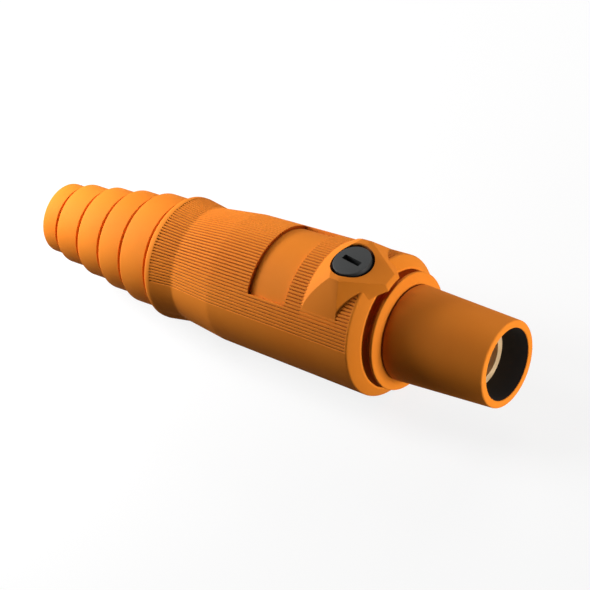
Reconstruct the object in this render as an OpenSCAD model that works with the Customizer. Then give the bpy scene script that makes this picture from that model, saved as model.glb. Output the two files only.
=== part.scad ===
// Single pole cam lock connector, female, for the end of one power cable.
// It lies along X: the nose opens towards +X, the cable boot runs back towards -X and the
// retaining screw is on top. The origin is the centre of the brass contact's front face.
// Places along the axis are distances back from the mouth of the nose.

/* [Nose] */
// Outside diameter of the nose at its mouth
nose_d = 28.8; // [27:0.1:30]
// Outside diameter of the nose where it meets the collar
nose_base_d = 32.2; // [31:0.1:34]
// Length of the nose from its mouth to the collar
nose_len = 37.4; // [34:0.1:42]
// Bore of the nose at its mouth
mouth_d = 23.1; // [22.8:0.1:24]
// Radius on the lip of the mouth
lip_r = 0.7; // [0.3:0.1:1]

/* [Collar and groove] */
// Outside diameter of the collar
collar_d = 39.5; // [38:0.1:40.5]
// Thickness of the collar
collar_w = 1.9; // [1.6:0.1:3]
// How far the outer edge of the collar's front face lies behind its inner edge
collar_lean = 0.8; // [0.2:0.1:1.2]
// Width of the groove behind the collar
groove_w = 2.8; // [1.8:0.1:4]
// Diameter of the floor of the groove
groove_d = 34; // [32:0.1:37]

/* [Grip] */
// Diameter at the inner edge of the sloped front face
face_d = 40.9; // [40:0.1:43]
// Length of the sloped front face
face_len = 3; // [2:0.1:5]
// Diameter of the grip at its front edge
grip_front_d = 47.7; // [46.5:0.1:49]
// Diameter of the grip where the flare begins
grip_rear_d = 44.4; // [43:0.1:46]
// Length of the grip from its front edge to the flare
grip_len = 59.4; // [52:0.1:68]
// Length of the flare down to the waist
flare_len = 17; // [12:0.5:24]
// Diameter of the waist
waist_d = 40.2; // [38.5:0.1:42]
// Length of the band that rises from the waist to the rear rim
band_len = 9.2; // [6:0.1:14]
// Diameter of the rear rim
rear_rim_d = 42.9; // [42:0.1:46]
// Width of the rear rim
rear_rim_w = 2; // [1.5:0.1:4]
// Radius on the outer edges of the rear rim and the boot's steps
edge_r = 0.9; // [0.3:0.1:1.2]

/* [Ribs] */
// Number of ribs that would fill a whole turn
rib_count = 126; // [90:2:140]
// Width of the slots between the ribs
rib_gap = 0.5; // [0.3:0.05:0.7]
// Depth of the slots between the ribs
rib_depth = 0.45; // [0.2:0.05:0.7]
// Number of slots to each side of the top, and of the bottom
rib_reach = 24; // [16:1:27]
// Plain land before the ribs begin
rib_land = 0.7; // [0.5:0.1:2]

/* [Cable boot] */
// Number of steps
step_count = 5; // [3:1:6]
// Outside diameter of the largest step
boot_front_d = 38.9; // [36:0.1:41]
// Outside diameter of the smallest step
boot_rear_d = 25; // [23:0.1:27]
// Length of each step but the last
step_len = 11.4; // [9:0.1:14]
// Extra length of the largest step
boot_neck = 1.5; // [0:0.1:4]
// Length of the last step
last_step_len = 8.5; // [6:0.1:14]
// Bore of the boot for the thickest cable
cable_max_d = 24; // [23:0.5:26]
// Bore of the boot for the thinnest cable
cable_min_d = 12; // [9:0.5:14]

/* [Screw boss] */
// Distance of the retaining screw behind the front edge of the grip
screw_back = 8.3; // [7.5:0.1:10]
// Height of the boss above the axis
boss_h = 26.8; // [25.5:0.1:28]
// Width of the flat on top of the boss
boss_top_w = 19.1; // [18:0.1:20]
// Angle from the top to the foot of each side of the boss
boss_side_angle = 45.5; // [42:0.5:50]
// Distance from the screw back to the foot of the rear ramp
ramp_back = 11.5; // [10:0.1:14]
// Rise of the rear ramp for each millimetre of length
ramp_rise = 0.555; // [0.45:0.005:0.65]
// Distance from the screw forward to the start of the front slope
slope_start = 1; // [0:0.1:3]
// Distance from the screw forward to the blunt end of the arrow
arrow_reach = 14.1; // [13.5:0.1:15]
// Height of the arrow's end above the axis
arrow_h = 23.1; // [22.5:0.1:24]
// Slope of the arrow's end from upright
arrow_end_angle = 30; // [10:1:45]
// Clearance between the arrow and the collar below it
arrow_gap = 1.7; // [1:0.1:2.2]
// Distance from the screw forward to where the arrow's flanks would meet
flank_reach = 17.4; // [16.5:0.1:18.5]
// Angle between the arrow's flanks and the axis, seen from above
flank_angle = 38; // [35:0.5:42]
// Lean of the arrow's flanks from upright
flank_lean = 32; // [28:0.5:36]

/* [Badge recess] */
// Distance from the screw back to the front wall of the recess
recess_back = 18.3; // [15:0.1:22]
// Length of the recess along the grip
recess_len = 15.9; // [10:0.1:18]
// Angle from the top to each end of the recess
recess_angle = 49; // [30:1:52]
// Depth of the recess
recess_depth = 1.2; // [0.5:0.1:2]
// Radius of the corners of the recess
recess_corner_r = 2; // [1:0.1:4]

/* [Contact] */
// Outside diameter of the contact
contact_d = 22.2; // [21.8:0.05:22.3]
// Distance of the contact's front face behind the mouth
contact_setback = 9; // [6:0.1:12]
// Bore of the mating socket
socket_d = 15.9; // [15:0.05:16.5]
// Thickness of the web between the two sockets
web_t = 12; // [10.5:0.5:16]
// Bore of the conductor socket
conductor_d = 14.4; // [13:0.1:15]
// Depth of the conductor socket
conductor_depth = 42; // [40:0.5:48]
// Chamfer on the outer edges of the contact
contact_chamfer = 0.8; // [0.3:0.1:1.5]
// Clearance round the contact in the sleeve
contact_gap = 0.15; // [0.05:0.01:0.3]

/* [Cam pin] */
// Diameter of the cam pin
cam_pin_d = 4.8; // [4:0.1:6]
// Distance of the cam pin behind the contact's front face
cam_pin_back = 20; // [16:0.1:26]
// Height of the cam pin's tip above the axis
cam_pin_reach = 4.9; // [4:0.1:6.5]
// Clearance round the cam pin in the contact
pin_gap = 0.02; // [0.01:0.01:0.1]

/* [Set screws] */
// Diameter of each set screw
set_screw_d = 9.8; // [8:0.1:10.5]
// Length of each set screw
set_screw_len = 6.5; // [5:0.1:8]
// Distance from the web to the first set screw
set_screw_back = 13; // [8:0.5:15]
// Distance between the set screws
set_screw_pitch = 16; // [12.5:0.5:19]
// Width across the flats of the hexagon socket
hex_af = 5; // [4:0.5:6]
// Depth of the hexagon socket
hex_depth = 3.5; // [2:0.1:4.5]
// Clearance round the set screws in the contact
thread_gap = 0.1; // [0.05:0.01:0.2]

/* [Retaining screw] */
// Diameter of the head
head_d = 13.4; // [12:0.1:14]
// Height of the head
head_h = 6.4; // [5:0.1:8]
// Clearance round the head in the boss
head_gap = 0.6; // [0.2:0.05:0.8]
// How far the head stands below the top of the boss
head_sink = 0.2; // [0:0.1:1]
// Diameter of the shank
shank_d = 8; // [6:0.1:9]
// How far the shank enters the contact
shank_entry = 3.5; // [2:0.1:6]
// Clearance round the shank
shank_gap = 0.15; // [0.05:0.01:0.3]
// Length of the driver slot
slot_len = 6.6; // [5:0.1:9]
// Width of the driver slot
slot_w = 1.7; // [1:0.1:2]
// Depth of the driver slot
slot_depth = 1.8; // [1:0.1:3]

/* [Hidden] */
$fn = 96;

// How far cutters run past what they cut
over = 1;
// Sides of each rounded edge
edge_sides = 4;

// Places along the axis
collar_end = nose_len + collar_w;
groove_end = collar_end + groove_w;
grip_start = groove_end + face_len;
grip_end = grip_start + grip_len;
waist_at = grip_end + flare_len;
band_end = waist_at + band_len;
body_end = band_end + rear_rim_w;
boot_end = body_end + boot_neck + (step_count - 1) * step_len + last_step_len;
screw_at = grip_start + screw_back;
boss_foot = screw_at + ramp_back;
arrow_at = screw_at - arrow_reach;
recess_start = screw_at + recess_back;
recess_end = recess_start + recess_len;
web_start = screw_at - web_t / 2;
web_end = web_start + web_t;
contact_end = web_end + conductor_depth;
cam_pin_at = contact_setback + cam_pin_back;
first_set_screw_at = web_end + set_screw_back;

// Radii of what fits together
contact_bore_r = contact_d / 2 + contact_gap;
shank_hole_r = shank_d / 2 + shank_gap;
head_seat = boss_h - head_sink - head_h;
shank_tip = contact_d / 2 - shank_entry;
set_screw_top = chord_height(set_screw_d);
cam_pin_top = chord_height(cam_pin_d);

// Height at which a radial piece of this diameter stays inside the contact's outside
function chord_height(d) = sqrt(pow(contact_d / 2, 2) - pow(d / 2, 2)) - contact_gap;

// How far each side of the boss spreads from the edge of its top to its foot
boss_spread = grip_r(screw_at) * sin(boss_side_angle) - boss_top_w / 2;

// Radius of the grip at a place along the axis
function grip_r(s) = (grip_front_d + (grip_rear_d - grip_front_d) * (s - grip_start) / grip_len) / 2;

// Radius of the band between the waist and the rear rim
function band_r(s) = (waist_d + (rear_rim_d - waist_d) * (s - waist_at) / band_len) / 2;

// Steps of the boot, counted from the largest
function step_share(i) = i / (step_count - 1);
function step_r(i) = (boot_front_d + (boot_rear_d - boot_front_d) * step_share(i)) / 2;
function cable_r(i) = (cable_max_d + (cable_min_d - cable_max_d) * step_share(i)) / 2;
function step_end(i) =
    i == step_count - 1 ? boot_end : body_end + boot_neck + (i + 1) * step_len;

// Quarter round in a profile, about a centre, from one direction to the other
function quarter(centre, r, from, to) =
    [for (i = [0:edge_sides]) centre + r * [cos(from + (to - from) * i / edge_sides),
                                            sin(from + (to - from) * i / edge_sides)]];
// Edge that faces the mouth, and edge that faces the cable
function front_edge(s, r, e) = quarter([s + e, r - e], e, 180, 90);
function rear_edge(s, r, e) = quarter([s - e, r - e], e, 90, 0);

// Turns a profile of [distance from the mouth, radius] round the axis, starting at one side
module turned(profile) {
    rotate([90, 0, -90]) rotate_extrude() polygon([for (p = profile) [p[1], p[0]]]);
}

// Puts something that points up at a place along the axis
module on_top(s, height) {
    translate([-s, 0, height]) children();
}

// Moves the mouth forward of the contact's front face, which is the origin
module from_contact() {
    translate([contact_setback, 0, 0]) children();
}

module sleeve_outside() {
    turned(concat(
        [[0, 0]],
        front_edge(0, nose_d / 2, lip_r),
        [[nose_len, nose_base_d / 2]],
        front_edge(nose_len + collar_lean, collar_d / 2, edge_r / 2),
        [
            [collar_end, collar_d / 2], [collar_end, groove_d / 2],
            [groove_end, groove_d / 2], [groove_end, face_d / 2],
            [grip_start, grip_front_d / 2 - rib_depth], [grip_start + rib_depth, grip_r(grip_start + rib_depth)],
            [grip_end, grip_rear_d / 2], [waist_at, waist_d / 2], [band_end, rear_rim_d / 2]
        ],
        rear_edge(body_end, rear_rim_d / 2, edge_r),
        [for (i = [0:step_count - 1])
            each concat([[i == 0 ? body_end : step_end(i - 1), step_r(i)]],
                        rear_edge(step_end(i), step_r(i), edge_r))],
        [[boot_end, 0]]
    ));
}

// Space for the contact and the cable, narrowing towards the cable end in steps
module sleeve_inside() {
    neck = step_len / 4;
    turned(concat(
        [
            [-over, 0], [-over, mouth_d / 2], [0, mouth_d / 2], [contact_setback, contact_bore_r],
            [contact_end, contact_bore_r], [contact_end, cable_max_d / 2]
        ],
        [for (i = [0:step_count - 2])
            each [[step_end(i) - 2 * neck, cable_r(i)], [step_end(i) - neck, cable_r(i + 1)]]],
        [[boot_end + over, cable_min_d / 2], [boot_end + over, 0]]
    ));
}

// Slots between the ribs, down the grip, the flare and the band
module rib_slots() {
    start = grip_start + rib_land;
    end = band_end - rib_land / 2;
    pitch = 360 / rib_count;
    for (side = [0, 180], i = [-rib_reach:rib_reach])
        rotate([side + i * pitch, 0, 0]) rotate([90, 0, 0]) linear_extrude(rib_gap, center = true)
            polygon([
                [-start, grip_front_d], [-start, grip_r(start) - rib_depth],
                [-grip_end, grip_rear_d / 2 - rib_depth], [-waist_at, waist_d / 2 - rib_depth],
                [-end, band_r(end) - rib_depth], [-end, grip_front_d]
            ]);
}

// Everything behind a plane through a point
module behind(point, normal) {
    span = 2 * grip_front_d;
    flat = norm([normal[0], normal[1]]);
    translate(point) rotate([0, -atan2(normal[2], flat), atan2(normal[1], normal[0])])
        translate([-span, -span / 2, -span / 2]) cube(span);
}

// One side of the boss, from the edge of its top down to a line along the grip
module boss_side(side) {
    taper = (grip_front_d - grip_rear_d) / 2 / grip_len;
    rise = boss_h - grip_r(screw_at) * cos(boss_side_angle);
    behind([-screw_at, side * boss_top_w / 2, boss_h],
           [-taper * (sin(boss_side_angle) * rise + cos(boss_side_angle) * boss_spread), side * rise, boss_spread]);
}

// One flank of the arrow
module arrow_flank(side) {
    behind([flank_reach - screw_at, 0, arrow_h],
           [sin(flank_angle), side * cos(flank_angle), tan(flank_lean)]);
}

// Faceted boss round the screw, drawn out to a blunt arrow that hangs over the groove and the collar.
// Its ramp and sides run on below the grip's surface by a quarter of their length.
module boss() {
    foot_r = grip_r(boss_foot);
    ramp_end = boss_foot + ramp_back / 4;
    front = arrow_at - 2 * over;
    under_r = collar_d / 2 + arrow_gap;
    under_end = groove_end + face_len / 2;
    intersection() {
        turned([
            [front, under_r], [front, foot_r + ramp_rise * (boss_foot - front)],
            [ramp_end, foot_r + ramp_rise * (boss_foot - ramp_end)], [ramp_end, 0],
            [under_end, 0], [under_end, under_r]
        ]);
        rotate([90, 0, 0]) linear_extrude(boss_top_w + 2.5 * boss_spread, center = true)
            polygon([
                [-ramp_end - over, 0], [arrow_h * tan(arrow_end_angle) - arrow_at, 0], [-arrow_at, arrow_h],
                [slope_start - screw_at, boss_h], [-ramp_end - over, boss_h]
            ]);
        boss_side(-1);
        boss_side(1);
        arrow_flank(-1);
        arrow_flank(1);
    }
}

// Shallow pocket wrapped round the top of the grip, with radial ends
module badge_recess() {
    half = grip_r(recess_start) * sin(recess_angle) + recess_depth / 4;
    r = recess_corner_r;
    before = recess_start - over;
    past = recess_end + over;
    intersection() {
        turned([
            [before, grip_r(before) - recess_depth], [before, grip_front_d],
            [past, grip_front_d], [past, grip_r(past) - recess_depth]
        ]);
        linear_extrude(grip_front_d) polygon(concat(
            quarter([-recess_start - r, half - r], r, 0, 90), quarter([r - recess_end, half - r], r, 90, 180),
            quarter([r - recess_end, r - half], r, 180, 270), quarter([-recess_start - r, r - half], r, 270, 360)
        ));
        on_top(past, 0) rotate([90, 0, 90]) linear_extrude(past - before)
            polygon([[0, 0], grip_front_d * [tan(recess_angle), 1], grip_front_d * [-tan(recess_angle), 1]]);
    }
}

module insulating_sleeve() {
    color("darkorange") from_contact() difference() {
        union() {
            difference() {
                sleeve_outside();
                rib_slots();
            }
            boss();
        }
        sleeve_inside();
        badge_recess();
        on_top(screw_at, head_seat) cylinder(h = boss_h, r = head_d / 2 + head_gap);
        on_top(screw_at, 0) cylinder(h = boss_h, r = shank_hole_r);
    }
}

module socket_contact() {
    r = contact_d / 2;
    color("goldenrod") from_contact() difference() {
        turned([
            [contact_setback, 0], [contact_setback, r - contact_chamfer],
            [contact_setback + contact_chamfer, r], [contact_end - contact_chamfer, r],
            [contact_end, r - contact_chamfer], [contact_end, 0]
        ]);
        turned([
            [contact_setback - over, 0], [contact_setback - over, socket_d / 2],
            [web_start, socket_d / 2], [web_start, 0]
        ]);
        turned([
            [web_end, 0], [web_end, conductor_d / 2],
            [contact_end + over, conductor_d / 2], [contact_end + over, 0]
        ]);
        on_top(cam_pin_at, 0) cylinder(h = contact_d, r = cam_pin_d / 2 + pin_gap);
        for (i = [0, 1]) on_top(first_set_screw_at + i * set_screw_pitch, 0)
            cylinder(h = contact_d, r = set_screw_d / 2 + thread_gap);
        on_top(screw_at, shank_tip - shank_gap) cylinder(h = contact_d, r = shank_hole_r);
    }
}

module cam_pin() {
    color("silver") from_contact() on_top(cam_pin_at, cam_pin_reach)
        cylinder(h = cam_pin_top - cam_pin_reach, d = cam_pin_d);
}

module set_screws() {
    color("dimgray") from_contact() for (i = [0, 1])
        on_top(first_set_screw_at + i * set_screw_pitch, set_screw_top - set_screw_len) difference() {
            cylinder(h = set_screw_len, d = set_screw_d);
            translate([0, 0, set_screw_len - hex_depth])
                cylinder(h = hex_depth + over, d = hex_af / cos(30), $fn = 6);
        }
}

module retaining_screw() {
    color("black") from_contact() on_top(screw_at, 0) difference() {
        union() {
            translate([0, 0, head_seat]) cylinder(h = head_h, d = head_d);
            translate([0, 0, shank_tip]) cylinder(h = head_seat + over - shank_tip, d = shank_d);
        }
        translate([-slot_len / 2, -slot_w / 2, head_seat + head_h - slot_depth])
            cube([slot_len, slot_w, slot_depth + over]);
    }
}

insulating_sleeve();
socket_contact();
cam_pin();
set_screws();
retaining_screw();
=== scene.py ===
from math import atan2, cos, degrees, hypot, pi, radians, sin

import bmesh
import bpy
from mathutils import Matrix, Vector


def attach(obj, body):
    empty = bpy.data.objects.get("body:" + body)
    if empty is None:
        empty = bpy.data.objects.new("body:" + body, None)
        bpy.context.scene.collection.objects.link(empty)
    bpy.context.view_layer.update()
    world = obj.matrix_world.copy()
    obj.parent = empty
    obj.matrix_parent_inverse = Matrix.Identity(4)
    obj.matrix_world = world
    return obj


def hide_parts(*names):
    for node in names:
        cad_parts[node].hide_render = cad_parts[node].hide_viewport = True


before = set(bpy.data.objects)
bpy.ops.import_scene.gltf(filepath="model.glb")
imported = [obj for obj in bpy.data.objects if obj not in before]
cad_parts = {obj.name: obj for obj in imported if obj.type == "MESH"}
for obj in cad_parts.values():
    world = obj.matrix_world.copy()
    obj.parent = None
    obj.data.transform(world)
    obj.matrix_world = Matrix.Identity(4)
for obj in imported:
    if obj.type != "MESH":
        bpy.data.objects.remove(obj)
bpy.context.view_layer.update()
scene = bpy.context.scene
mm = 0.001  # everything below is in millimetres until it goes into a mesh
weldGap = 1e-6  # metres: vertices closer than this become one
onPlane = 1e-7  # metres: nearer than this lies on the plane or the axis
print("frame loaded with", len(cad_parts), "nodes")


def onAxis(back, radius, angle=0.0):  # distance back from the mouth, radius, degrees from the top
    turn = radians(angle)
    return Vector((sleeve["mouth"] - back, radius * sin(turn), radius * cos(turn))) * mm


def newPiece(name, bm, material):
    mesh = bpy.data.meshes.new(name)
    bm.to_mesh(mesh)
    bm.free()
    piece = bpy.data.objects.new(name, mesh)
    scene.collection.objects.link(piece)
    mesh.materials.append(material)
    return piece


def combine(piece, tool, operation):  # boolean, applied, and the tool goes
    change = piece.modifiers.new(operation, "BOOLEAN")
    change.operation = operation
    change.solver = "EXACT"
    change.object = tool
    with bpy.context.temp_override(object=piece, active_object=piece, selected_objects=[piece]):
        bpy.ops.object.modifier_apply(modifier=change.name)
    bpy.data.objects.remove(tool)


def shade(piece, sharpAngle):
    piece.data.polygons.foreach_set("use_smooth", [True] * len(piece.data.polygons))
    piece.data.set_sharp_from_angle(angle=radians(sharpAngle))


def roundedLoop(bm, corners):  # closed loop of (x, y, z, radius) corners, rounded corner by corner
    points = [bm.verts.new(Vector(c[:3])) for c in corners]
    for i, point in enumerate(points):
        bm.edges.new((point, points[i - 1]))
    groups = {}
    for point, corner in zip(points, corners):
        if corner[3] > 0:
            groups.setdefault(corner[3], []).append(point)
    for radius, group in groups.items():
        bmesh.ops.bevel(bm, geom=group, offset=radius * mm, offset_type="OFFSET", segments=4,
                        profile=0.5, affect="VERTICES", material=-1)


def cutPlane(bm, point, normal):  # drop what lies in front of the plane and close the cut
    made = bmesh.ops.bisect_plane(bm, geom=bm.verts[:] + bm.edges[:] + bm.faces[:], dist=onPlane,
                                  plane_co=point, plane_no=normal, clear_outer=True)
    edges = [e for e in made["geom_cut"] if isinstance(e, bmesh.types.BMEdge)]
    bmesh.ops.edgeloop_fill(bm, edges=edges)


def linear(hexColour):  # sRGB hex to linear
    parts = [int(hexColour[i:i + 2], 16) / 255 for i in (1, 3, 5)]
    return [p / 12.92 if p <= 0.04045 else ((p + 0.055) / 1.055) ** 2.4 for p in parts] + [1.0]


def addNode(tree, kind, settings=None, links=None):
    node = tree.nodes.new(kind)
    for key, value in (settings or {}).items():
        socket = node.inputs.get(key) if isinstance(key, str) else node.inputs[key]
        if socket is None:
            setattr(node, key, value)
        else:
            socket.default_value = value
    for key, source in (links or {}).items():
        tree.links.new(source, node.inputs[key])
    return node


def startMaterial(name):
    material = bpy.data.materials.new(name)
    material.use_nodes = True
    tree = material.node_tree
    shader = tree.nodes["Principled BSDF"]
    place = addNode(tree, "ShaderNodeTexCoord").outputs["Object"]
    return material, tree, shader, place


def mottle(tree, place, look):  # soft patches, and the look's two colours mixed by them
    patch = addNode(tree, "ShaderNodeTexNoise",
                    {"Scale": 1 / (look["patch"] * mm), "Detail": look["patchDetail"]}, {"Vector": place})
    tone = addNode(tree, "ShaderNodeMix",
                   {"data_type": "RGBA", 6: linear(look["deep"]), 7: linear(look["light"])},
                   {0: patch.outputs["Fac"]})
    return patch.outputs["Fac"], tone.outputs[2]


def finishSurface(tree, shader, look, colour, relief, patch):  # colour, fine relief and uneven gloss
    tree.links.new(colour, shader.inputs["Base Color"])
    bump = addNode(tree, "ShaderNodeBump", {"Strength": 1.0, "Distance": look["reliefDepth"] * mm},
                   {"Height": relief})
    tree.links.new(bump.outputs["Normal"], shader.inputs["Normal"])
    rough = addNode(tree, "ShaderNodeMapRange", {"To Min": look["roughLow"], "To Max": look["roughHigh"]},
                    {"Value": patch})
    tree.links.new(rough.outputs["Result"], shader.inputs["Roughness"])


# Thermoplastic rubber, moulded in an etched tool: satin, with a faint pebble, slightly uneven in colour,
# and with painted shade that darkens its grooves and corners
rubberLook = {"name": "orange moulded rubber", "deep": "#DA7517", "light": "#EA892A", "paintedShade": "#463530",
              "patch": 22.0, "patchDetail": 3.0, "roughLow": 0.72, "roughHigh": 0.84, "specular": 0.11,
              "pebble": 0.55, "pebbleDetail": 2.0, "reliefDepth": 0.012,  # coarser than a real etch, to show
              "corner": 3.0, "cornerLow": 0.15, "cornerHigh": 0.58, "cornerRays": 8}
# The same rubber in black, inside the nose
blackBoreLook = {**rubberLook, "name": "black moulded rubber",
              "deep": "#242120", "light": "#2E2A28", "paintedShade": "#141211"}


def mouldedRubber(look):
    material, tree, shader, place = startMaterial(look["name"])
    patch, tone = mottle(tree, place, look)
    # painted shade: the colour turns towards a dark tone where ambient occlusion finds grooves and corners
    corner = addNode(tree, "ShaderNodeAmbientOcclusion",
                     {"samples": look["cornerRays"], "Distance": look["corner"] * mm})
    clear = addNode(tree, "ShaderNodeMapRange",
                    {"From Min": look["cornerLow"], "From Max": look["cornerHigh"]},
                    {"Value": corner.outputs["AO"]})
    shadedTone = addNode(tree, "ShaderNodeMix", {"data_type": "RGBA", 6: linear(look["paintedShade"])},
                    {0: clear.outputs["Result"], 7: tone})
    pebble = addNode(tree, "ShaderNodeTexNoise",
                     {"Scale": 1 / (look["pebble"] * mm), "Detail": look["pebbleDetail"]}, {"Vector": place})
    finishSurface(tree, shader, look, shadedTone.outputs[2], pebble.outputs["Fac"], patch)
    shader.inputs["Specular IOR Level"].default_value = look["specular"]
    return material


# Free-cutting brass, turned: fine rings from the tool on faces and bores
brassLook = {"name": "turned brass", "deep": "#D8B688", "light": "#F0D4AA", "patch": 4.0, "patchDetail": 4.0,
             "roughLow": 0.48, "roughHigh": 0.62,
             "ring": 0.35, "reliefDepth": 0.006}  # rings wider apart than real ones, to show


def turnedBrass(look):
    material, tree, shader, place = startMaterial(look["name"])
    smear, tone = mottle(tree, place, look)
    parts = addNode(tree, "ShaderNodeSeparateXYZ", links={"Vector": place})
    flat = addNode(tree, "ShaderNodeCombineXYZ", links={"Y": parts.outputs["Y"], "Z": parts.outputs["Z"]})
    radius = addNode(tree, "ShaderNodeVectorMath", {"operation": "LENGTH"}, {0: flat.outputs[0]})
    along = addNode(tree, "ShaderNodeMath", {"operation": "ADD"},
                    {0: parts.outputs["X"], 1: radius.outputs["Value"]})
    phase = addNode(tree, "ShaderNodeMath", {"operation": "MULTIPLY", 1: 2 * pi / (look["ring"] * mm)},
                    {0: along.outputs[0]})
    ring = addNode(tree, "ShaderNodeMath", {"operation": "SINE"}, {0: phase.outputs[0]})
    finishSurface(tree, shader, look, tone, ring.outputs[0], smear)
    shader.inputs["Metallic"].default_value = 1.0
    return material


# Glass-filled nylon, moulded: near black, matt, with a fine grain
nylonLook = {"name": "black moulded nylon", "deep": "#191A1A", "light": "#242626",
             "roughLow": 0.5, "roughHigh": 0.64, "specular": 0.3,
             "patch": 0.7, "patchDetail": 4.0, "reliefDepth": 0.02}  # coarser than real grain, to show


def mouldedNylon(look):
    material, tree, shader, place = startMaterial(look["name"])
    grain, tone = mottle(tree, place, look)
    finishSurface(tree, shader, look, tone, grain, grain)
    shader.inputs["Specular IOR Level"].default_value = look["specular"]
    return material


# Plated steel, machined: grey and faintly mottled, with a soft gloss
steelLook = {"name": "machined steel", "deep": "#8A8C90", "light": "#B4B6B9",
             "patch": 0.5, "patchDetail": 3.0, "reliefDepth": 0.004, "roughLow": 0.25, "roughHigh": 0.4}


def machinedSteel(look):
    material, tree, shader, place = startMaterial(look["name"])
    mottling, tone = mottle(tree, place, look)
    finishSurface(tree, shader, look, tone, mottling, mottling)
    shader.inputs["Metallic"].default_value = 1.0
    return material


rubber, blackBore = mouldedRubber(rubberLook), mouldedRubber(blackBoreLook)
brass, nylon, steel = turnedBrass(brassLook), mouldedNylon(nylonLook), machinedSteel(steelLook)
print("materials made")

sleeve = {  # corners are (distance back from the mouth, radius, rounding)
    "mouth": 9.0,  # the mouth lies this far ahead of the contact's face
    "turnSteps": 504,  # four columns to each rib
    "nose": [(0.0, 14.4, 0.6), (36.5, 16.05, 0.12),
             (36.9, 15.5, 0.0), (37.3, 15.5, 0.0)],  # these two make a fine groove at its root
    "collar": [(38.2, 19.75, 0.3), (39.3, 19.75, 0.25), (39.3, 17.0, 0.3), (42.1, 17.0, 0.3)],
    "frontFace": [(42.1, 20.45, 0.3), (45.1, 23.85, 0.45)],
    "flare": [(104.5, 22.2, 0.7), (121.5, 20.1, 0.6)],
    "rearRim": [(130.7, 21.45, 0.0), (132.7, 21.45, 0.8)],
    "stepEnds": [145.6, 157.0, 168.4, 179.8, 188.3],
    "stepRadii": [19.45, 17.71, 15.97, 14.23, 12.5],
    "stepEdge": 0.7,
    "stepGroove": (1.8, 2.2, 0.6), "grooveEdge": 0.12,  # at the foot of each step: floor, top, depth
    "bore": [(188.3, 6.0, 0.4), (176.95, 6.0, 0.0), (174.1, 7.5, 0.0), (165.55, 7.5, 0.0),
             (162.7, 9.0, 0.0), (154.15, 9.0, 0.0), (151.3, 10.5, 0.0), (142.75, 10.5, 0.0),
             (139.9, 12.0, 0.0), (101.4, 12.0, 0.0), (101.4, 11.25, 0.0),
             (9.0, 11.25, 0.0), (0.0, 11.95, 0.3)],  # opens towards the mouth
    "blackStart": 0.4, "blackEnd": 101.0, "blackRadius": 11.8,  # the bore is black between these
    "sharpAngle": 24,
}
ribs = {"columns": 4, "depth": 0.45, "reach": 68.8, "start": 45.75, "end": 130.4, "runOut": 0.3,
        "outside": 18.0, "margin": 0.1}


def straightRadius(start, end, back):  # on the straight line from one corner to the next
    (startBack, startRadius, _), (endBack, endRadius, _) = start, end
    return startRadius + (endRadius - startRadius) * (back - startBack) / (endBack - startBack)


def gripRadius(back):
    return straightRadius(sleeve["frontFace"][1], sleeve["flare"][0], back)


def bandRadius(back):
    return straightRadius(sleeve["flare"][1], sleeve["rearRim"][0], back)


def sleeveCorners():
    corners = sleeve["nose"] + sleeve["collar"] + sleeve["frontFace"]
    corners += [(back, gripRadius(back), 0.0) for back in (ribs["start"], ribs["start"] + ribs["runOut"])]
    corners += sleeve["flare"]
    corners += [(back, bandRadius(back), 0.0) for back in (ribs["end"] - ribs["runOut"], ribs["end"])]
    corners += sleeve["rearRim"]
    back = sleeve["rearRim"][1][0]
    for end, radius in zip(sleeve["stepEnds"], sleeve["stepRadii"]):
        flat, top, depth = sleeve["stepGroove"]
        corners += [(back, radius - depth, 0.0), (back + flat, radius - depth, 0.0),
                    (back + top, radius, sleeve["grooveEdge"]), (end, radius, sleeve["stepEdge"])]
        back = end
    return corners + sleeve["bore"]


def cutRibs(bm):  # every fourth column of the grip drops to a groove, top and bottom
    pitch = 360 / sleeve["turnSteps"]
    first, last = ribs["start"] + ribs["margin"], ribs["end"] - ribs["margin"]
    for vert in bm.verts:
        back = sleeve["mouth"] - vert.co.x / mm
        radius = hypot(vert.co.y, vert.co.z) / mm
        angle = degrees(atan2(vert.co.y, vert.co.z))
        column = round(angle / pitch)
        fromSeam = min(abs(angle), 180 - abs(angle))
        inGroove = first < back < last and radius > ribs["outside"]
        if inGroove and fromSeam < ribs["reach"] and column % ribs["columns"] == 0:
            vert.co.yz *= (radius - ribs["depth"]) / radius


def turnSleeve():
    bm = bmesh.new()
    roundedLoop(bm, [(*onAxis(back, radius), rounding) for back, radius, rounding in sleeveCorners()])
    bmesh.ops.spin(bm, geom=bm.verts[:] + bm.edges[:], cent=(0, 0, 0), axis=(1, 0, 0), angle=2 * pi,
                   steps=sleeve["turnSteps"], use_merge=True)
    bmesh.ops.remove_doubles(bm, verts=bm.verts[:], dist=weldGap)
    cutRibs(bm)
    bmesh.ops.recalc_face_normals(bm, faces=bm.faces[:])
    return newPiece("rubberSleeve", bm, rubber)


boss = {
    "screwAt": 53.4, "height": 26.8, "topWidth": 19.1, "sideAngle": 45.5, "footAt": 64.9, "rampRise": 0.555,
    "slopeStart": 1.0, "endAt": 39.3, "endHeight": 23.1, "endAngle": 30, "under": 21.45, "underEnd": 43.6,
    "flankReach": 17.4, "flankAngle": 38, "flankLean": 32, "sideReach": 1.25,  # the arrow's slanted front
    "rootRadius": 13.0, "buried": 2.9, "overrun": 2.0, "spread": 62, "turnSteps": 62,  # the uncut block
    "edge": 0.8, "edgeOver": 9, "flatAngle": 0.5,  # rounded where faces turn by more than edgeOver degrees
}


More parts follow.
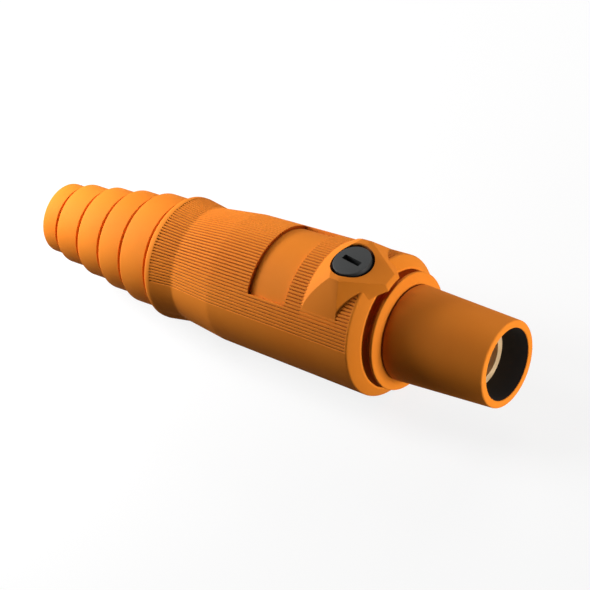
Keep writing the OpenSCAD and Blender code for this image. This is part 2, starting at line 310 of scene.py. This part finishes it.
def turnedBlock(bm, profile, halfAngle, steps):  # solid sector over the top from a profile of (back, radius)
    face = bm.faces.new([bm.verts.new(onAxis(back, radius, halfAngle)) for back, radius in profile])
    bmesh.ops.spin(bm, geom=face.verts[:] + face.edges[:] + [face], cent=(0, 0, 0), axis=(1, 0, 0),
                   angle=radians(2 * halfAngle), steps=steps)
    bmesh.ops.remove_doubles(bm, verts=bm.verts[:], dist=weldGap)
    bmesh.ops.recalc_face_normals(bm, faces=bm.faces[:])


def shapeBoss():
    footRadius = gripRadius(boss["footAt"])

    def ramp(back):
        return footRadius + boss["rampRise"] * (boss["footAt"] - back)

    front, rear = boss["endAt"] - boss["overrun"], boss["footAt"] + boss["buried"]
    bm = bmesh.new()
    profile = [(front, boss["under"]), (front, ramp(front)), (rear, ramp(rear)), (rear, boss["rootRadius"]),
               (boss["underEnd"], boss["rootRadius"]), (boss["underEnd"], boss["under"])]
    turnedBlock(bm, profile, boss["spread"], boss["turnSteps"])
    top = onAxis(boss["screwAt"], boss["height"])
    end = onAxis(boss["endAt"], boss["endHeight"])
    slope = onAxis(boss["screwAt"] - boss["slopeStart"], boss["height"]) - end
    lean = radians(boss["endAngle"])
    cutPlane(bm, top, Vector((0, 0, 1)))
    cutPlane(bm, end, Vector((slope.z, 0, -slope.x)))
    cutPlane(bm, end, Vector((cos(lean), 0, sin(lean))))
    turn = radians(boss["sideAngle"])
    radius = gripRadius(boss["screwAt"])
    taper = gripRadius(0) - gripRadius(1)
    halfTop = boss["topWidth"] / 2
    spread, rise = radius * sin(turn) - halfTop, boss["height"] - radius * cos(turn)
    plan, flank = radians(boss["flankAngle"]), radians(boss["flankLean"])
    meet = onAxis(boss["screwAt"] - boss["flankReach"], boss["endHeight"])
    for side in (-1, 1):
        edge = top + Vector((0, side * halfTop, 0)) * mm
        cutPlane(bm, edge, Vector((-taper * (sin(turn) * rise + cos(turn) * spread), side * rise, spread)))
        cutPlane(bm, edge + Vector((0, side * boss["sideReach"] * spread, 0)) * mm, Vector((0, side, 0)))
        cutPlane(bm, meet, Vector((sin(plan) * cos(flank), side * cos(plan) * cos(flank), sin(flank))))
    bmesh.ops.dissolve_limit(bm, angle_limit=radians(boss["flatAngle"]), verts=bm.verts[:], edges=bm.edges[:])
    crisp = [e for e in bm.edges if e.is_manifold and e.calc_face_angle() > radians(boss["edgeOver"])]
    bmesh.ops.bevel(bm, geom=crisp, offset=boss["edge"] * mm, offset_type="OFFSET", segments=3, profile=0.5,
                    affect="EDGES", clamp_overlap=True, material=-1)
    bmesh.ops.recalc_face_normals(bm, faces=bm.faces[:])
    return newPiece("bossBlock", bm, rubber)


recess = {"start": 71.7, "end": 87.6, "angle": 49, "depth": 1.2, "corner": 2.0, "frontLean": 0.6,
          "sideSpare": 0.3, "overrun": 2.0, "outside": 30.0, "turnSteps": 60}


def recessFloor(back):
    return gripRadius(back) - recess["depth"]


def shapeRecess():  # a turned layer with radial ends, its corners rounded by an upright block
    start, outside = recess["start"], recess["outside"]
    front, behind = start + recess["frontLean"], recess["end"] + recess["overrun"]
    bm = bmesh.new()
    profile = [(front, recessFloor(front)), (start, gripRadius(start)), (start - recess["overrun"], outside),
               (behind, outside), (behind, recessFloor(behind))]
    turnedBlock(bm, profile, recess["angle"], recess["turnSteps"])
    layer = newPiece("recessLayer", bm, rubber)
    half = gripRadius(start) * sin(radians(recess["angle"])) + recess["sideSpare"]
    bm = bmesh.new()
    front, rear = sleeve["mouth"] - start, sleeve["mouth"] - recess["end"]
    roundedLoop(bm, [(x * mm, y * mm, 0, recess["corner"]) for x, y in
                     ((front, -half), (front, half), (rear, half), (rear, -half))])
    bmesh.ops.edgeloop_fill(bm, edges=bm.edges[:])
    walls = bmesh.ops.extrude_face_region(bm, geom=bm.faces[:])
    bmesh.ops.translate(bm, vec=(0, 0, outside * mm),
                        verts=[v for v in walls["geom"] if isinstance(v, bmesh.types.BMVert)])
    bmesh.ops.recalc_face_normals(bm, faces=bm.faces[:])
    combine(layer, newPiece("recessWalls", bm, rubber), "INTERSECT")
    return layer


screwHole = {"radius": 7.3, "seat": 20.2, "shankRadius": 4.15, "edge": 0.3, "steps": 96,
             "foot": 5.0, "overrun": 5.0}


def turnedUpright(name, corners, steps, material):  # turned about the screw's own axis
    x = sleeve["mouth"] - boss["screwAt"]
    bm = bmesh.new()
    roundedLoop(bm, [((x + r) * mm, 0, z * mm, rounding) for r, z, rounding in corners])
    onCentre = [e for e in bm.edges if all(abs(v.co.x - x * mm) < onPlane for v in e.verts)]
    bmesh.ops.delete(bm, geom=onCentre, context="EDGES")
    bmesh.ops.spin(bm, geom=bm.verts[:] + bm.edges[:], cent=(x * mm, 0, 0), axis=(0, 0, 1), angle=2 * pi,
                   steps=steps, use_merge=True)
    bmesh.ops.remove_doubles(bm, verts=bm.verts[:], dist=weldGap)
    bmesh.ops.recalc_face_normals(bm, faces=bm.faces[:])
    return newPiece(name, bm, material)


def shapeScrewHole():
    wide, narrow, edge = screwHole["radius"], screwHole["shankRadius"], screwHole["edge"]
    foot, seat, top = screwHole["foot"], screwHole["seat"], boss["height"]
    above = top + screwHole["overrun"]
    corners = [(0, foot, 0), (narrow, foot, 0), (narrow, seat, 0), (wide, seat, 0), (wide, top - edge, 0),
               (wide + 2 * edge, top + edge, 0), (wide + 2 * edge, above, 0), (0, above, 0)]
    return turnedUpright("screwHole", corners, screwHole["steps"], rubber)


def blackenBore(piece):  # the wall of the bore behind the lip is black
    piece.data.materials.append(blackBore)
    for face in piece.data.polygons:
        back, radius = sleeve["mouth"] - face.center.x / mm, hypot(face.center.y, face.center.z) / mm
        if sleeve["blackStart"] < back < sleeve["blackEnd"] and radius < sleeve["blackRadius"]:
            face.material_index = 1


rubberSleeve = turnSleeve()
print("sleeve turned:", len(rubberSleeve.data.polygons), "faces")
combine(rubberSleeve, shapeRecess(), "DIFFERENCE")
combine(rubberSleeve, shapeBoss(), "UNION")
combine(rubberSleeve, shapeScrewHole(), "DIFFERENCE")
blackenBore(rubberSleeve)
shade(rubberSleeve, sleeve["sharpAngle"])
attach(rubberSleeve, "root")
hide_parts("insulating_sleeve")
print("sleeve finished:", len(rubberSleeve.data.polygons), "faces")

screw = {"headRadius": 6.35, "top": 26.6, "seat": 20.2, "shankRadius": 4.0, "tip": 7.6,
         "edge": 0.25, "seatEdge": 0.2, "steps": 96, "slotLength": 7.4, "slotWidth": 1.9, "slotTurn": -10.0,
         "slotDepth": 3.0, "slotEdge": 0.2, "sharpAngle": 40}


def shapeScrew():
    shank, head, edge = screw["shankRadius"], screw["headRadius"], screw["edge"]
    tip, seat, top = screw["tip"], screw["seat"], screw["top"]
    corners = [(0, tip, 0), (shank, tip, edge), (shank, seat, 0), (head, seat, screw["seatEdge"]),
               (head, top, edge), (0, top, 0)]
    piece = turnedUpright("retainingScrew", corners, screw["steps"], nylon)
    bm = bmesh.new()
    bmesh.ops.create_cube(bm, size=1.0)
    size = Vector((screw["slotLength"], screw["slotWidth"], 2 * screw["slotDepth"])) * mm
    bmesh.ops.scale(bm, vec=size, verts=bm.verts[:])
    upright = [e for e in bm.edges if abs(e.verts[0].co.z - e.verts[1].co.z) > weldGap]
    bmesh.ops.bevel(bm, geom=upright, offset=screw["slotEdge"] * mm, offset_type="OFFSET", segments=3,
                    profile=0.5, affect="EDGES", material=-1)
    turn = Matrix.Rotation(radians(screw["slotTurn"]), 3, "Z")
    bmesh.ops.rotate(bm, cent=(0, 0, 0), matrix=turn, verts=bm.verts[:])
    bmesh.ops.translate(bm, vec=onAxis(boss["screwAt"], top), verts=bm.verts[:])
    combine(piece, newPiece("driverSlot", bm, nylon), "DIFFERENCE")
    return piece


retainingScrew = shapeScrew()
shade(retainingScrew, screw["sharpAngle"])
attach(retainingScrew, "root")
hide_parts("retaining_screw")
print("retaining screw made")

for node, material in (("socket_contact", brass), ("cam_pin", steel), ("set_screws", steel)):
    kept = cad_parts[node]
    kept.data.materials.clear()
    kept.data.materials.append(material)
print("contact, pin and set screws dressed")

floorLook = {"height": -23.85, "size": 4000.0, "paper": "#F2F2F2", "bounce": "#404040", "glow": 0.85,
             "rough": 0.9}


def seenRay(tree):  # 1 where the camera sees it, also on metal and through glass, and 0 for other light
    ray = addNode(tree, "ShaderNodeLightPath")
    straight = addNode(tree, "ShaderNodeMath", {"operation": "MAXIMUM"},
                       {0: ray.outputs["Is Camera Ray"], 1: ray.outputs["Is Glossy Ray"]})
    seen = addNode(tree, "ShaderNodeMath", {"operation": "MAXIMUM"},
                   {0: straight.outputs[0], 1: ray.outputs["Is Transmission Ray"]})
    return seen.outputs[0]


def makeFloor():
    bm = bmesh.new()
    bmesh.ops.create_grid(bm, x_segments=1, y_segments=1, size=floorLook["size"] / 2 * mm)
    bmesh.ops.translate(bm, vec=(0, 0, floorLook["height"] * mm), verts=bm.verts[:])
    material, tree, shader, _ = startMaterial("white paper")
    shader.inputs["Roughness"].default_value = floorLook["rough"]
    seen = seenRay(tree)
    tone = addNode(tree, "ShaderNodeMix",
                   {"data_type": "RGBA", 6: linear(floorLook["bounce"]), 7: linear(floorLook["paper"])},
                   {0: seen})
    tree.links.new(tone.outputs[2], shader.inputs["Base Color"])
    share = addNode(tree, "ShaderNodeMath", {"operation": "MULTIPLY", 1: floorLook["glow"]}, {0: seen})
    white = addNode(tree, "ShaderNodeEmission", {"Strength": 1.0})
    both = addNode(tree, "ShaderNodeMixShader",
                   links={0: share.outputs[0], 1: shader.outputs[0], 2: white.outputs[0]})
    tree.links.new(both.outputs[0], tree.nodes["Material Output"].inputs["Surface"])
    floor = newPiece("paperFloor", bm, material)


lamps = [
    {"name": "rearKey", "at": (-330, -50, 130), "size": (90, 90), "power": 1.18, "aim": (-110, 0, 0)},
    {"name": "rearOverhead", "at": (-400, 0, 500), "size": (220, 220), "power": 0.9, "aim": (-85, 0, 0)},
    {"name": "frontLight", "at": (500, 18, 3), "size": (46, 46), "power": 3.05, "aim": (-20, 0, 0)},
    {"name": "farFill", "at": (-85, 400, 250), "size": (220, 220), "power": 0.9, "aim": (-85, 0, 0)},
]


def hangLamps():
    for lamp in lamps:
        light = bpy.data.lights.new(lamp["name"], "AREA")
        light.shape = "RECTANGLE"
        light.size, light.size_y = lamp["size"][0] * mm, lamp["size"][1] * mm
        light.energy = lamp["power"]
        holder = bpy.data.objects.new(lamp["name"], light)
        holder.location = Vector(lamp["at"]) * mm
        holder.rotation_euler = (Vector(lamp["aim"]) - Vector(lamp["at"])).to_track_quat("-Z", "Y").to_euler()
        scene.collection.objects.link(holder)


skyLook = {"dim": 0.02, "seen": 1.0}


def makeSky():
    world = bpy.data.worlds.new("studio")
    world.use_nodes = True
    tree = world.node_tree
    strength = addNode(tree, "ShaderNodeMapRange", {"To Min": skyLook["dim"], "To Max": skyLook["seen"]},
                       {"Value": seenRay(tree)})
    tree.links.new(strength.outputs["Result"], tree.nodes["Background"].inputs["Strength"])
    tree.nodes["Background"].inputs["Color"].default_value = (1, 1, 1, 1)
    scene.world = world


photoView = {"azimuth": 48.885, "elevation": 41.971, "roll": 18.973, "at": (357.95, -378.55, 517.03),
             "lens": 142.11, "sensor": 36.0, "nearest": 0.01, "farthest": 20.0}


def placeCamera():
    camera = bpy.data.objects.new("photoCamera", bpy.data.cameras.new("photoCamera"))
    camera.data.lens, camera.data.sensor_width = photoView["lens"], photoView["sensor"]
    camera.data.clip_start, camera.data.clip_end = photoView["nearest"], photoView["farthest"]
    around, above = radians(photoView["azimuth"]), radians(photoView["elevation"])
    behind = Vector((sin(around) * cos(above), -cos(around) * cos(above), sin(above)))
    roll = Matrix.Rotation(radians(-photoView["roll"]), 3, "Z")
    turn = (-behind).to_track_quat("-Z", "Y").to_matrix() @ roll
    camera.matrix_world = Matrix.Translation(Vector(photoView["at"]) * mm) @ turn.to_4x4()
    scene.collection.objects.link(camera)
    scene.camera = camera


makeFloor()
hangLamps()
makeSky()
placeCamera()
scene.view_settings.view_transform = "Standard"
print("floor, lamps and camera placed")
